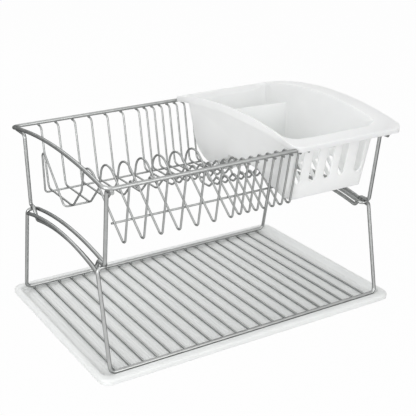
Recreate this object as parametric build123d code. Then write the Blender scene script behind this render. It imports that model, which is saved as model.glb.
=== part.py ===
from build123d import *
from math import asin, atan2, cos, hypot, sin, sqrt, tan
import os

# Two-tier dish drying rack: a drip tray, a lower wire rack that stands in it, an upper wire rack that
# rests on the lower one, and a moulded cutlery basket hung over the right end of the upper rack.
# Millimetres, +Z up, +X right, -Y front. Origin: centre of the tray's underside.

# ---- wire stock and fits ----
FRAME_D = 5.5            # heavy wire of the two frames
THIN_D = 3.0             # light wire of the shelf, the waves and the rods
WELD = 0.1               # how far crossing wires melt into each other
REST_GAP = 0.3           # running clearance where one loose piece rests on another

# ---- drip tray ----
TRAY_ROOM_X = 2.25       # flat floor past the lower rack, at each end
TRAY_ROOM_Y = 1.25       # and past its shelf wires, front and back
TRAY_HEIGHT = 9.0
TRAY_FLOOR = 2.2
TRAY_RIM = 14.0          # sloping rim, seen from above
TRAY_LIP = 2.4           # top edge of the rim
TRAY_UNDERCUT = 7.2      # the underside stands in from the edge
TRAY_CORNER = 26.0

# ---- lower rack ----
LOWER_LENGTH = 460.0     # between the leg planes
LOWER_WIDTH = 298.5      # between the bottom rails
LOWER_TOP_WIDTH = 241.4  # between the leg tops
LEG_HEIGHT = 142.3       # bottom rail to leg top
LOWER_CORNER = 8.0
TOP_CORNER = 6.4
TURN_IN = 14.5           # the leg top turns towards the middle before the arch
ARCH_RISE = 11.7
SHELF_WIRES = 21
SHELF_END = 12.5         # last shelf wire in from the leg plane
SECOND_ARC_DROP = 5.3    # ends of the second arc, below the leg top
SECOND_ARC_RISE = 14.0
SECOND_ARC_SINK = 0.8    # upper corner of its cut end, into the leg
ARCH_FILL = 0.97         # share of an arch's flank that its bend takes

# ---- upper rack ----
RIM_PAST_END = 9.25      # side rail outside the plane of the end wire
RIM_PAST_TOP = 37.0      # long rail outside the lower rack's leg tops
RIM_CORNER = 14.0
RIM_SIDE_RISE = 13.8     # the side rails arch up in the middle
UPPER_LEG_HEIGHT = 115.3  # from the crossing of the two racks up to the rim
FRONT_FOOT_OUT = 8.6     # foot of the front leg, outside the crossing
FRONT_TOP_IN = 14.7      # the leg tops flare outwards under the rail
BACK_FOOT_OUT = 2.5      # the back legs stand steeper and further in
BACK_TOP_IN = 28.3
BACK_LEG_BEND = 4.0
HOOK_REACH = 9.6         # level run over the crossing, towards the middle
HOOK_DROP = 16.6         # from that run down to the ends of the low arc
HOOK_SLANT = 11.0
LOW_ARC_RISE = 10.2
LEG_FLARE_BEND = 7.0
HOOK_BEND = 5.0
LOW_ARC_BEND = 5.5

# ---- waved wires ----
BASIN_DEPTH = 97.8       # rim down to the basin floor
PLATE_WIRES = 7
PLATE_PITCH = 28.0
PLATE_START = 44.0       # first plate wire in from the left side rail
CUP_WIRES = 7
CUP_PITCH = 14.1
PLATE_TO_CUP = 14.0
TIP_OVERHANG = 2.4
BACK_FLARE = 8.7
BACK_FLARE_BEND = 7.0
FRONT_FLARE = 18.5
FRONT_FLARE_BEND = 5.0
FRONT_HUMP = 3.4
BACK_FOOT = 25.4         # foot of the back wall, in from the back rail
BACK_FOOT_BEND = 8.0
FLOOR_FRONT_Y = 44.0     # where the floor ends under the tall ridges
FLOOR_FRONT_BEND = 14.0
TROUGH_IN = 38.1         # in from the front rail
TROUGH_DROP = 2.4        # trough corner below the basin floor
TROUGH_BEND = 6.0
RIDGE_Y = -6.4
RIDGE_RISE = 92.6        # apex of the tall ridge above the basin floor
RIDGE_BEND = 23.0
RIDGE_KNEE_Y = 10.5
RIDGE_KNEE_RISE = 34.0
RIDGE_KNEE_BEND = 20.0
CUP_FLOOR_Y = 46.0       # where the floor ends under the low ridges
CUP_FLOOR_BEND = 10.0
CUP_RIDGE_Y = 5.0
CUP_RIDGE_RISE = 43.4
CUP_DIP_BACK_Y = -17.0
CUP_DIP_FRONT_Y = -40.0
CUP_DIP_RISE = 21.6
CUP_SECOND_Y = -60.5
CUP_SECOND_RISE = 44.5
CUP_BEND = 8.0

# ---- rods under the waves ----
ROD_BACK_Y = 124.5
ROD_FRONT_Y = 53.5
ROD_START = 9.5          # end stop, outside the first wave
ROD_OVERHANG = 3.4       # past the last wire
ROD_FRONT_WAVES = 2      # the front run ends under this wave
STOP_HEIGHT = 74.0       # apex of the end stop above the rods
STOP_LEAN = 3.5
STOP_BACK_BEND = 5.0
STOP_TOP_BEND = 7.0
STOP_FRONT_BEND = 6.0
TROUGH_ROD_SHARE = 0.26  # place of the trough rod along the slope, from the trough corner

# ---- cutlery basket ----
BASKET_WALL = 2.2
BASKET_OVERLAP = 25.9    # the basket reaches this far over the low waves
BASKET_PAST_RAIL = 16.0  # lip outside the right side rail
BASKET_RIGHT_IN = 13.0   # right wall inside that rail, at the rail's height
BASKET_FOOT_RIGHT_IN = 17.5
BASKET_TOP_HALF = 136.3  # half width of the body where it meets the rails
BASKET_SLOPE = 0.2       # lean of the front and back walls
BASKET_DEPTH = 93.7      # rail top to underside
LEFT_LEAN = 0.085        # lean of the left wall
SHOULDER_DROP = 72.3     # rail top to where the left wall turns in
SHOULDER_BEND = 80.0
LEFT_TOE = 16.5          # foot of the left wall, in from its shoulder
CORNER_FRONT_LEFT = 12.0
CORNER_BACK_LEFT = 25.0
CORNER_RIGHT = 5.5
FLARE_DROP = 1.8         # the walls flare to the lip from this far below the rail top
FLARE_SLOPE = 1.4
FLARE_RIGHT_SLOPE = 0.22
FLARE_CORNER = 30.0
LIP_HALF = 163.8
LIP_THICK = 3.2
LIP_RISE = 18.9
LIP_CORNER = 15.0
SKIRT_WALL = 2.2
SKIRT_END = 7.3
SKIRT_MIDDLE = 13.5
RECESS_GAP = 2.5         # the lower left edge is stepped in by this much clear of the low waves
SADDLE_TOP_Y = -56.0     # front edge of the saddle's ridge
SADDLE_FOOT_Y = -98.0
GRILLE_SLOTS = 8
GRILLE_PITCH = 13.5
GRILLE_SLOT_WIDTH = 8.0
GRILLE_START = 20.0      # first slot in from the right wall
GRILLE_FRONT_Y = -90.0
GRILLE_BACK_Y = -62.0
SLOTS_FROM_RIGHT = (19.0, 50.5, 76.5, 103.5, 131.0)
SLOT_WIDTH = 12.5
SLOT_TOP = 10.0          # below the rail top
SLOT_BOTTOM = 69.3
FLOOR_SLOTS = 7
FLOOR_SLOT_WIDTH = 7.0
FLOOR_MARGIN = 7.0       # between the floor's slots and the walls around them
DIVIDER_Y = 75.0
DIVIDER_WALL = 2.0
DIVIDER_DROP_LEFT = 5.0
DIVIDER_DROP_RIGHT = 10.5

# ---- worked out from the above ----
FRAME_R = FRAME_D / 2
THIN_R = THIN_D / 2
RAIL_Z = TRAY_FLOOR + REST_GAP + THIN_D + FRAME_R - WELD
LEG_TOP_Z = RAIL_Z + LEG_HEIGHT
CROSS_Z = LEG_TOP_Z + FRAME_D + REST_GAP
RIM_Z = CROSS_Z + UPPER_LEG_HEIGHT
RIM_TOP_Z = RIM_Z + FRAME_R
FLOOR_Z = RIM_Z - BASIN_DEPTH
UNDER_RIM_Z = RIM_Z - FRAME_R - THIN_R + WELD
ROD_Z = FLOOR_Z - THIN_D + WELD
TRAY_LENGTH = LOWER_LENGTH + FRAME_D + 2 * (TRAY_ROOM_X + TRAY_RIM)
TRAY_WIDTH = LOWER_WIDTH + THIN_D + 2 * (TRAY_ROOM_Y + TRAY_RIM)
SHELF_PITCH = (LOWER_LENGTH - 2 * SHELF_END) / (SHELF_WIRES - 1)
LEG_LEAN = (LOWER_WIDTH - LOWER_TOP_WIDTH) / 2 / LEG_HEIGHT
END_WIRE_X = (LOWER_LENGTH - TURN_IN) / 2
RIM_X = END_WIRE_X + RIM_PAST_END
RIM_Y = LOWER_TOP_WIDTH / 2 + RIM_PAST_TOP
TROUGH_Y = TROUGH_IN - RIM_Y
FIRST_PLATE_X = PLATE_START - RIM_X
LAST_PLATE_X = FIRST_PLATE_X + (PLATE_WIRES - 1) * PLATE_PITCH
FIRST_CUP_X = LAST_PLATE_X + PLATE_TO_CUP
LAST_CUP_X = FIRST_CUP_X + (CUP_WIRES - 1) * CUP_PITCH

os.makedirs("parts", exist_ok=True)


def save(solid, name):
    """Write one node."""
    solid.label = name
    export_step(solid, f"parts/{name}.step")


def bent_wire(points, radii, diameter):
    """Round wire along a path of straight runs joined by arcs, one radius for each corner."""
    path = FilletPolyline(*points, radius=radii)
    start = Plane(origin=path @ 0, z_dir=path % 0)
    return sweep(start * Circle(diameter / 2), path=path)


def arch_apex(half_span, rise, bend_margin=0.0):
    """Height of the corner whose largest arc stands `rise` above the arch's ends."""
    return 2 * rise * half_span / (half_span + bend_margin)


def arch_radius(half_span, apex, bend_margin=0.0):
    """Radius of the arc that fills the corner at `apex`, leaving the margin at each end."""
    slope = apex / half_span
    run = (half_span - bend_margin) * hypot(1, slope)
    return ARCH_FILL * run / slope


def at_x(x, outline):
    """Points of a YZ outline in the plane at x."""
    return [(x, y, z) for y, z in outline]


# ---- drip tray ----
def tray_outline(inset):
    """The tray seen from above, drawn in from its edge."""
    return RectangleRounded(TRAY_LENGTH - 2 * inset, TRAY_WIDTH - 2 * inset, TRAY_CORNER - inset)


def drip_tray():
    """Shallow pan: flat floor, rim sloping up and out to a thin edge."""
    edge_plan = Pos(Z=TRAY_HEIGHT - TRAY_LIP) * tray_outline(0)
    outer = loft([tray_outline(TRAY_UNDERCUT), edge_plan])
    edge = extrude(edge_plan, TRAY_LIP)
    well = loft([
        Pos(Z=TRAY_FLOOR) * tray_outline(TRAY_RIM),
        Pos(Z=TRAY_HEIGHT) * tray_outline(TRAY_LIP),
    ])
    return outer + edge - well


# ---- lower rack ----
def lower_frame():
    """One closed wire: bottom rails, four leaning legs, and an arch across each end."""
    end_x = LOWER_LENGTH / 2
    arch_x = end_x - TURN_IN
    rail_y = LOWER_WIDTH / 2
    top_y = LOWER_TOP_WIDTH / 2
    apex = arch_apex(top_y, ARCH_RISE, TOP_CORNER)
    bend = arch_radius(top_y, apex, TOP_CORNER)
    half = [
        (0, -rail_y, RAIL_Z),
        (end_x, -rail_y, RAIL_Z),
        (end_x, -top_y, LEG_TOP_Z),
        (arch_x, -top_y, LEG_TOP_Z),
        (arch_x, 0, LEG_TOP_Z + apex),
        (arch_x, top_y, LEG_TOP_Z),
        (end_x, top_y, LEG_TOP_Z),
        (end_x, rail_y, RAIL_Z),
        (0, rail_y, RAIL_Z),
    ]
    bends = [LOWER_CORNER, TOP_CORNER, TOP_CORNER, bend, TOP_CORNER, TOP_CORNER, LOWER_CORNER]
    right = bent_wire(half, bends, FRAME_D)
    return right + mirror(right, about=Plane.YZ)


def leg_y(height):
    """Half distance between the lower legs at a height above the bottom rails."""
    return LOWER_WIDTH / 2 - LEG_LEAN * height


def lower_end_arc(side):
    """Second arch, welded between the legs a little under their tops."""
    x = side * LOWER_LENGTH / 2
    height = LEG_HEIGHT - SECOND_ARC_DROP
    fall = atan2(2 * SECOND_ARC_RISE, leg_y(height))
    leg_inside = leg_y(height + FRAME_R * cos(fall)) - FRAME_R * hypot(1, LEG_LEAN)
    end_y = leg_inside + SECOND_ARC_SINK - FRAME_R * sin(fall)
    end_z = RAIL_Z + height
    apex = arch_apex(end_y, SECOND_ARC_RISE)
    outline = [(-end_y, end_z), (0, end_z + apex), (end_y, end_z)]
    return bent_wire(at_x(x, outline), [arch_radius(end_y, apex)], FRAME_D)


def shelf_wire(x):
    """Straight wire under the two bottom rails."""
    reach = LOWER_WIDTH / 2 + THIN_R
    z = RAIL_Z - FRAME_R - THIN_R + WELD
    return Pos(x, 0, z) * Rot(X=90) * Cylinder(THIN_R, 2 * reach)


# ---- upper rack ----
def upper_rim():
    """Closed loop: level long rails and side rails that arch up."""
    apex = arch_apex(RIM_Y, RIM_SIDE_RISE, RIM_CORNER)
    bend = arch_radius(RIM_Y, apex, RIM_CORNER)
    half = [
        (0, -RIM_Y, RIM_Z),
        (RIM_X, -RIM_Y, RIM_Z),
        (RIM_X, 0, RIM_Z + apex),
        (RIM_X, RIM_Y, RIM_Z),
        (0, RIM_Y, RIM_Z),
    ]
    right = bent_wire(half, [RIM_CORNER, bend, RIM_CORNER], FRAME_D)
    return right + mirror(right, about=Plane.YZ)


def leg_outline(top_in, foot_out):
    """One leg and hook of an end wire, from the rail down to the low arc, by distance from the middle."""
    cross_y = LOWER_TOP_WIDTH / 2
    run_y = cross_y - HOOK_REACH
    flare_z = RIM_Z - FRAME_D + 2 * WELD  # the rail already rises a little here, in its corner
    return [
        (RIM_Y + FRAME_R / 2, flare_z),
        (RIM_Y - top_in, flare_z),
        (cross_y + foot_out, CROSS_Z),
        (run_y, CROSS_Z),
        (run_y - HOOK_SLANT, CROSS_Z - HOOK_DROP),
    ]


def end_wire(side):
    """Legs and low arc of one end, one wire: it rests where it crosses the lower rack's turned tops."""
    front = [(-y, z) for y, z in leg_outline(FRONT_TOP_IN, FRONT_FOOT_OUT)]
    back = leg_outline(BACK_TOP_IN, BACK_FOOT_OUT)[::-1]
    arc_y, arc_z = back[0]
    apex = arch_apex(arc_y, LOW_ARC_RISE, TOP_CORNER)
    outline = front + [(0, arc_z + apex)] + back
    front_bends = [LEG_FLARE_BEND, TOP_CORNER, HOOK_BEND, LOW_ARC_BEND]
    back_bends = [LOW_ARC_BEND, HOOK_BEND, BACK_LEG_BEND, LEG_FLARE_BEND]
    bends = front_bends + [arch_radius(arc_y, apex, TOP_CORNER)] + back_bends
    return bent_wire(at_x(side * END_WIRE_X, outline), bends, FRAME_D)


# ---- waved wires ----
BACK_RUN = [
    (RIM_Y + TIP_OVERHANG, UNDER_RIM_Z),
    (RIM_Y - BACK_FLARE, UNDER_RIM_Z),
    (RIM_Y - BACK_FOOT, FLOOR_Z),
]
BACK_BENDS = [BACK_FLARE_BEND, BACK_FOOT_BEND]
FRONT_TIP_DROP = FRONT_HUMP * TIP_OVERHANG / FRONT_FLARE
FRONT_RUN = [
    (-RIM_Y + FRONT_FLARE, UNDER_RIM_Z + FRONT_HUMP),
    (-RIM_Y - TIP_OVERHANG, UNDER_RIM_Z - FRONT_TIP_DROP),
]
FRONT_BENDS = [FRONT_FLARE_BEND]
TROUGH = (TROUGH_Y, FLOOR_Z - TROUGH_DROP)
RIDGE = (RIDGE_Y, FLOOR_Z + RIDGE_RISE)
CUP_SECOND = (CUP_SECOND_Y, FLOOR_Z + CUP_SECOND_RISE)


def trough_rod_centre():
    """The rod lies against the underside of the slope from the ridge to the trough."""
    dy = RIDGE[0] - TROUGH[0]
    dz = RIDGE[1] - TROUGH[1]
    length = hypot(dy, dz)
    along = TROUGH_ROD_SHARE * length
    away = THIN_D - WELD
    y = TROUGH[0] + along * dy / length + away * dz / length
    z = TROUGH[1] + along * dz / length - away * dy / length
    return y, z


def cup_trough():
    """Trough corner of a low wave: its slope touches the same rod and meets the same front arm."""
    rod_y, rod_z = trough_rod_centre()
    top_y, top_z = CUP_SECOND
    reach = hypot(top_y - rod_y, top_z - rod_z)
    slope = atan2(top_z - rod_z, top_y - rod_y) - asin((THIN_D - WELD) / reach)
    arm_y, arm_z = FRONT_RUN[0]
    arm = (arm_y - TROUGH[0]) / (arm_z - TROUGH[1])
    z = (top_z - (top_y - TROUGH[0] + arm * TROUGH[1]) * tan(slope)) / (1 - arm * tan(slope))
    return TROUGH[0] + arm * (z - TROUGH[1]), z


def plate_wire(x):
    """Wave with one tall ridge: back wall, floor, ridge, trough, front arm."""
    middle = [
        (FLOOR_FRONT_Y, FLOOR_Z),
        (RIDGE_KNEE_Y, FLOOR_Z + RIDGE_KNEE_RISE),
        RIDGE,
        TROUGH,
    ]
    outline = BACK_RUN + middle + FRONT_RUN
    bends = BACK_BENDS + [FLOOR_FRONT_BEND, RIDGE_KNEE_BEND, RIDGE_BEND, TROUGH_BEND] + FRONT_BENDS
    return bent_wire(at_x(x, outline), bends, THIN_D)


def cup_wire(x):
    """Wave with two low ridges and a shallow dip between them."""
    middle = [
        (CUP_FLOOR_Y, FLOOR_Z),
        (CUP_RIDGE_Y, FLOOR_Z + CUP_RIDGE_RISE),
        (CUP_DIP_BACK_Y, FLOOR_Z + CUP_DIP_RISE),
        (CUP_DIP_FRONT_Y, FLOOR_Z + CUP_DIP_RISE),
        CUP_SECOND,
        cup_trough(),
    ]
    outline = BACK_RUN + middle + FRONT_RUN
    bends = BACK_BENDS + [CUP_FLOOR_BEND] + 4 * [CUP_BEND] + [TROUGH_BEND] + FRONT_BENDS
    return bent_wire(at_x(x, outline), bends, THIN_D)


def base_rod():
    """Long run under the waves, the end stop, and a short front run, one wire."""
    left_x = FIRST_PLATE_X - ROD_START
    front_end_x = FIRST_PLATE_X + (ROD_FRONT_WAVES - 1) * PLATE_PITCH + ROD_OVERHANG
    points = [
        (LAST_CUP_X + ROD_OVERHANG, ROD_BACK_Y, ROD_Z),
        (left_x, ROD_BACK_Y, ROD_Z),
        (left_x, ROD_BACK_Y + STOP_LEAN, ROD_Z + STOP_HEIGHT),
        (left_x, ROD_FRONT_Y, ROD_Z),
        (front_end_x, ROD_FRONT_Y, ROD_Z),
    ]
    return bent_wire(points, [STOP_BACK_BEND, STOP_TOP_BEND, STOP_FRONT_BEND], THIN_D)


def trough_rod():
    """Straight rod under the slopes that lead into the trough."""
    y, z = trough_rod_centre()
    left_x = FIRST_PLATE_X - ROD_OVERHANG
    right_x = LAST_CUP_X + ROD_OVERHANG
    return Pos((left_x + right_x) / 2, y, z) * Rot(Y=90) * Cylinder(THIN_R, right_x - left_x)


# ---- cutlery basket ----
LIP_SLOPE = 2 * LIP_RISE / RIM_Y
LIP_CREST = RIM_Z + (FRAME_R + REST_GAP) * hypot(1, LIP_SLOPE) + LIP_RISE
LIP_CREST_TOP = LIP_CREST + LIP_THICK
LIP_ARC = (RIM_Y ** 2 + LIP_RISE ** 2) / (2 * LIP_RISE)
LIP_LEFT = LAST_CUP_X - BASKET_OVERLAP
LIP_RIGHT = RIM_X + BASKET_PAST_RAIL
BASKET_LEFT = LIP_LEFT + SKIRT_WALL
BASKET_RIGHT = RIM_X - BASKET_RIGHT_IN
BASKET_FOOT_RIGHT = RIM_X - BASKET_FOOT_RIGHT_IN
BASKET_FOOT_Z = RIM_TOP_Z - BASKET_DEPTH
BASKET_FOOT_HALF = BASKET_TOP_HALF - BASKET_DEPTH * BASKET_SLOPE
BASKET_MIDDLE_X = (BASKET_LEFT + BASKET_RIGHT) / 2
BASKET_SKY = LIP_CREST_TOP + 2 * LIP_RISE  # above everything: the block is cut down from here
BASKET_UNDER = BASKET_FOOT_Z - BASKET_WALL
FLARE_Z = RIM_TOP_Z - FLARE_DROP
RECESS_X = LAST_CUP_X + THIN_R + RECESS_GAP
SADDLE_Z = CUP_SECOND[1] + REST_GAP


def under_arch(crest, radius):
    """Everything below a cylinder that arches from front to back."""
    length = LIP_RIGHT + RIM_CORNER
    drum = Pos(length / 2, 0, crest - radius) * Rot(Y=90) * Cylinder(radius, length)
    keep = Pos(length / 2, 0, crest) * Box(length, 4 * LIP_HALF, 4 * BASKET_DEPTH)
    return drum & keep


def lip_plan(inset):
    """Upright block of the lip's outline."""
    length = LIP_RIGHT - LIP_LEFT - 2 * inset
    outline = RectangleRounded(length, 2 * LIP_HALF - 2 * inset, LIP_CORNER - inset)
    placed = Pos((LIP_LEFT + LIP_RIGHT) / 2, 0, BASKET_FOOT_Z) * outline
    return extrude(placed, BASKET_SKY - BASKET_FOOT_Z)


def left_x(z):
    """Left wall above its shoulder."""
    return BASKET_LEFT + LEFT_LEAN * (RIM_TOP_Z - z)


def right_x(z):
    """Right wall."""
    return BASKET_RIGHT + (BASKET_FOOT_RIGHT - BASKET_RIGHT) * (RIM_TOP_Z - z) / BASKET_DEPTH


def half_y(z):
    """Front and back walls, by distance from the middle."""
    return BASKET_TOP_HALF - BASKET_SLOPE * (RIM_TOP_Z - z)


def drawn_in(outline, amount):
    """Face of a closed outline, moved inwards all round (outwards where the amount is negative)."""
    face = make_face(outline)
    return offset(face, -amount, kind=Kind.INTERSECTION) if amount else face


def corner_edges(body, right, back):
    """Upright edges at one of the body's four corners."""
    upright = body.edges().filter_by(lambda edge: abs((edge % 0.5).Z) > 0.5)
    at_end = upright.filter_by(lambda edge: ((edge @ 0.5).X > BASKET_MIDDLE_X) == right)
    return at_end.filter_by(lambda edge: ((edge @ 0.5).Y > 0) == back)


def basket_block(inset):
    """Body of the basket: leaning walls, the left one sweeping in below its shoulder."""
    shoulder_z = RIM_TOP_Z - SHOULDER_DROP
    shoulder = (left_x(shoulder_z), shoulder_z)
    toe = (shoulder[0] + LEFT_TOE, BASKET_FOOT_Z)
    sky = (left_x(BASKET_SKY), BASKET_SKY)
    left = FilletPolyline(sky, shoulder, toe, radius=SHOULDER_BEND)
    rest = Polyline(
        toe,
        (BASKET_FOOT_RIGHT, BASKET_FOOT_Z),
        (right_x(BASKET_SKY), BASKET_SKY),
        sky,
    )
    end = Polyline(
        (-half_y(BASKET_SKY), BASKET_SKY),
        (-BASKET_FOOT_HALF, BASKET_FOOT_Z),
        (BASKET_FOOT_HALF, BASKET_FOOT_Z),
        (half_y(BASKET_SKY), BASKET_SKY),
        close=True,
    )
    side = left.edges() + rest.edges()
    lengthwise = extrude(Plane.XZ * drawn_in(side, inset), 2 * LIP_HALF, both=True)
    across = extrude(Plane.YZ * drawn_in(end, inset), LIP_RIGHT + RIM_CORNER)
    body = lengthwise & across
    corners = [
        (False, False, CORNER_FRONT_LEFT),
        (False, True, CORNER_BACK_LEFT),
        (True, False, CORNER_RIGHT),
        (True, True, CORNER_RIGHT),
    ]
    for right, back, radius in corners:
        body = fillet(corner_edges(body, right, back), radius - inset)
    return body


def plan_at(z, low_x, high_x, half, radius):
    """Rounded outline at a height, between two ends."""
    outline = RectangleRounded(high_x - low_x, 2 * half, radius)
    return Pos((low_x + high_x) / 2, 0, z) * outline


def flare(inset):
    """Funnel above the rails, leaning out to the lip at the front, the back and the right."""
    rise = BASKET_SKY - FLARE_Z
    half = half_y(FLARE_Z) - inset * hypot(1, FLARE_SLOPE)
    high_x = right_x(FLARE_Z) - inset * hypot(1, FLARE_RIGHT_SLOPE)
    radius = FLARE_CORNER - inset
    foot = plan_at(FLARE_Z, left_x(FLARE_Z) + inset, high_x, half, radius)
    sky_left = left_x(BASKET_SKY) + inset
    sky_right = high_x + rise * FLARE_RIGHT_SLOPE
    sky = plan_at(BASKET_SKY, sky_left, sky_right, half + rise * FLARE_SLOPE, radius)
    return loft([foot, sky])


def flank_y(low, high, away, z):
    """Y at height z on the line through two points, moved off it by `away`."""
    dy = high[0] - low[0]
    dz = high[1] - low[1]
    return low[0] + (z - low[1]) * dy / dz + away * hypot(dy, dz) / dz


def tunnel(front_foot_y, front_top_y, end_x, inset):
    """Way through the lower part of the body, its back slope clear of the low waves."""
    away = THIN_R + RECESS_GAP
    ridge = (CUP_RIDGE_Y, FLOOR_Z + CUP_RIDGE_RISE)
    back_foot = (CUP_FLOOR_Y, FLOOR_Z)
    outline = Polyline(
        (flank_y(back_foot, ridge, away, SADDLE_Z), SADDLE_Z),
        (flank_y(back_foot, ridge, away, BASKET_UNDER), BASKET_UNDER),
        (front_foot_y, BASKET_UNDER),
        (front_top_y, SADDLE_Z),
        close=True,
    )
    return extrude(Plane.YZ * drawn_in(outline, -inset), end_x + inset)


def hollows(inset):
    """Saddle over the whole length, widened at the left end to clear the low waves."""
    away = -THIN_R - RECESS_GAP
    low = flank_y(cup_trough(), CUP_SECOND, away, BASKET_UNDER)
    high = flank_y(cup_trough(), CUP_SECOND, away, SADDLE_Z)
    saddle = tunnel(SADDLE_FOOT_Y, SADDLE_TOP_Y, LIP_RIGHT, inset)
    return saddle + tunnel(low, high, RECESS_X, inset)


def rail_notch(side):
    """Way for a long rail through the left skirt, open downwards so the basket lifts off."""
    reach = FRAME_R + REST_GAP
    length = 2 * (LIP_CORNER + SKIRT_WALL)
    crown = Pos(LIP_LEFT, side * RIM_Y, RIM_Z) * Rot(Y=90) * Cylinder(reach, length)
    drop = Pos(LIP_LEFT, side * RIM_Y, RIM_Z - SKIRT_MIDDLE / 2) * Box(length, 2 * reach, SKIRT_MIDDLE)
    return crown + drop


def front_slots():
    """Round-ended slots through the front wall."""
    start_y = -half_y(RIM_TOP_Z) - BASKET_WALL
    depth = BASKET_TOP_HALF - BASKET_FOOT_HALF + 3 * BASKET_WALL
    middle_z = RIM_TOP_Z - (SLOT_TOP + SLOT_BOTTOM) / 2
    slots = []
    for from_right in SLOTS_FROM_RIGHT:
        centre = (BASKET_RIGHT - from_right, start_y, middle_z)
        plane = Plane(origin=centre, x_dir=(1, 0, 0), z_dir=(0, 1, 0))
        shape = plane * SlotOverall(SLOT_BOTTOM - SLOT_TOP, SLOT_WIDTH, rotation=90)
        slots.append(extrude(shape, depth))
    return slots


def row_of_slots(count, first_x, pitch, front_y, back_y, width):
    """Upright cutters for slots that run from front to back, up to the saddle's top."""
    cutters = []
    for i in range(count):
        place = Pos(first_x + i * pitch, (front_y + back_y) / 2, BASKET_UNDER)
        shape = place * SlotOverall(back_y - front_y, width, rotation=90)
        cutters.append(extrude(shape, SADDLE_Z - BASKET_UNDER))
    return cutters


def grille():
    """Slots through the saddle's front slope."""
    first_x = BASKET_RIGHT - GRILLE_START
    return row_of_slots(
        GRILLE_SLOTS, first_x, -GRILLE_PITCH, GRILLE_FRONT_Y, GRILLE_BACK_Y, GRILLE_SLOT_WIDTH
    )


def floor_slots():
    """Drain slots in the floor behind the divider, and between the divider and the saddle."""
    first_x = left_x(FLOOR_Z) + LEFT_TOE + CORNER_BACK_LEFT
    pitch = (BASKET_FOOT_RIGHT - 2 * FLOOR_MARGIN - first_x) / (FLOOR_SLOTS - 1)
    back_row = (DIVIDER_Y + FLOOR_MARGIN, BASKET_FOOT_HALF - BASKET_WALL - FLOOR_MARGIN)
    well_row = (CUP_FLOOR_Y + FLOOR_MARGIN, DIVIDER_Y - FLOOR_MARGIN)
    cutters = []
    for front_y, back_y in (back_row, well_row):
        cutters += row_of_slots(FLOOR_SLOTS, first_x, pitch, front_y, back_y, FLOOR_SLOT_WIDTH)
    return cutters


def divider():
    """Upright wall across the basket, its top falling towards the right end."""
    outline = Polyline(
        (BASKET_LEFT, RIM_TOP_Z - DIVIDER_DROP_LEFT),
        (BASKET_RIGHT, RIM_TOP_Z - DIVIDER_DROP_RIGHT),
        (BASKET_RIGHT, BASKET_FOOT_Z),
        (BASKET_LEFT, BASKET_FOOT_Z),
        close=True,
    )
    plane = Plane(origin=(0, DIVIDER_Y, 0), x_dir=(1, 0, 0), z_dir=(0, -1, 0))
    wall = extrude(plane * make_face(outline), DIVIDER_WALL)
    half_wall = BASKET_WALL / 2
    return wall & (basket_block(half_wall) - hollows(half_wall))


def cutlery_basket():
    """Moulded basket: body over a saddle, wide arched lip, down-turned skirt, slots and one divider."""
    outer = basket_block(0) + flare(0) - hollows(0)
    inner = basket_block(BASKET_WALL) + flare(BASKET_WALL) - hollows(BASKET_WALL)
    below_top = under_arch(LIP_CREST_TOP, LIP_ARC)
    edge_drop = LIP_ARC - sqrt(LIP_ARC ** 2 - LIP_HALF ** 2) + SKIRT_END - SKIRT_MIDDLE
    skirt_arc = (LIP_HALF ** 2 + edge_drop ** 2) / (2 * edge_drop)
    plan = lip_plan(0) & below_top
    lip = plan - under_arch(LIP_CREST, LIP_ARC)
    skirt = plan - lip_plan(SKIRT_WALL) - under_arch(LIP_CREST_TOP - SKIRT_MIDDLE, skirt_arc)
    skirt = skirt - rail_notch(-1) - rail_notch(1)
    body = (outer & below_top) + lip + skirt - inner + divider()
    for cut in front_slots() + grille() + floor_slots():
        body = body - cut
    return body


save(drip_tray(), "drip_tray")
save(lower_frame(), "lower_frame")
save(lower_end_arc(-1), "lower_end_arc_left")
save(lower_end_arc(1), "lower_end_arc_right")
for i in range(SHELF_WIRES):
    save(shelf_wire((i - (SHELF_WIRES - 1) / 2) * SHELF_PITCH), f"shelf_wire_{i + 1:02d}")
save(upper_rim(), "upper_rim")
save(end_wire(-1), "end_wire_left")
save(end_wire(1), "end_wire_right")
for i in range(PLATE_WIRES):
    save(plate_wire(FIRST_PLATE_X + i * PLATE_PITCH), f"plate_wire_{i + 1:02d}")
for i in range(CUP_WIRES):
    save(cup_wire(FIRST_CUP_X + i * CUP_PITCH), f"cup_wire_{i + 1:02d}")
save(base_rod(), "base_rod")
save(trough_rod(), "trough_rod")
save(cutlery_basket(), "cutlery_basket")
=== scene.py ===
# %% [markdown]
# # A two-tier dish drying rack
# The CAD model fixes every size and every place. This lesson adds what CAD leaves out: smooth plated wire,
# spot welds, rounded plastic edges, finishes, light and a camera. Everything is in metres, +Z up, +X along
# the rack towards the cutlery basket.

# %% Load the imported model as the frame
import math

import bmesh
import bpy
from mathutils import Matrix, Vector


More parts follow.
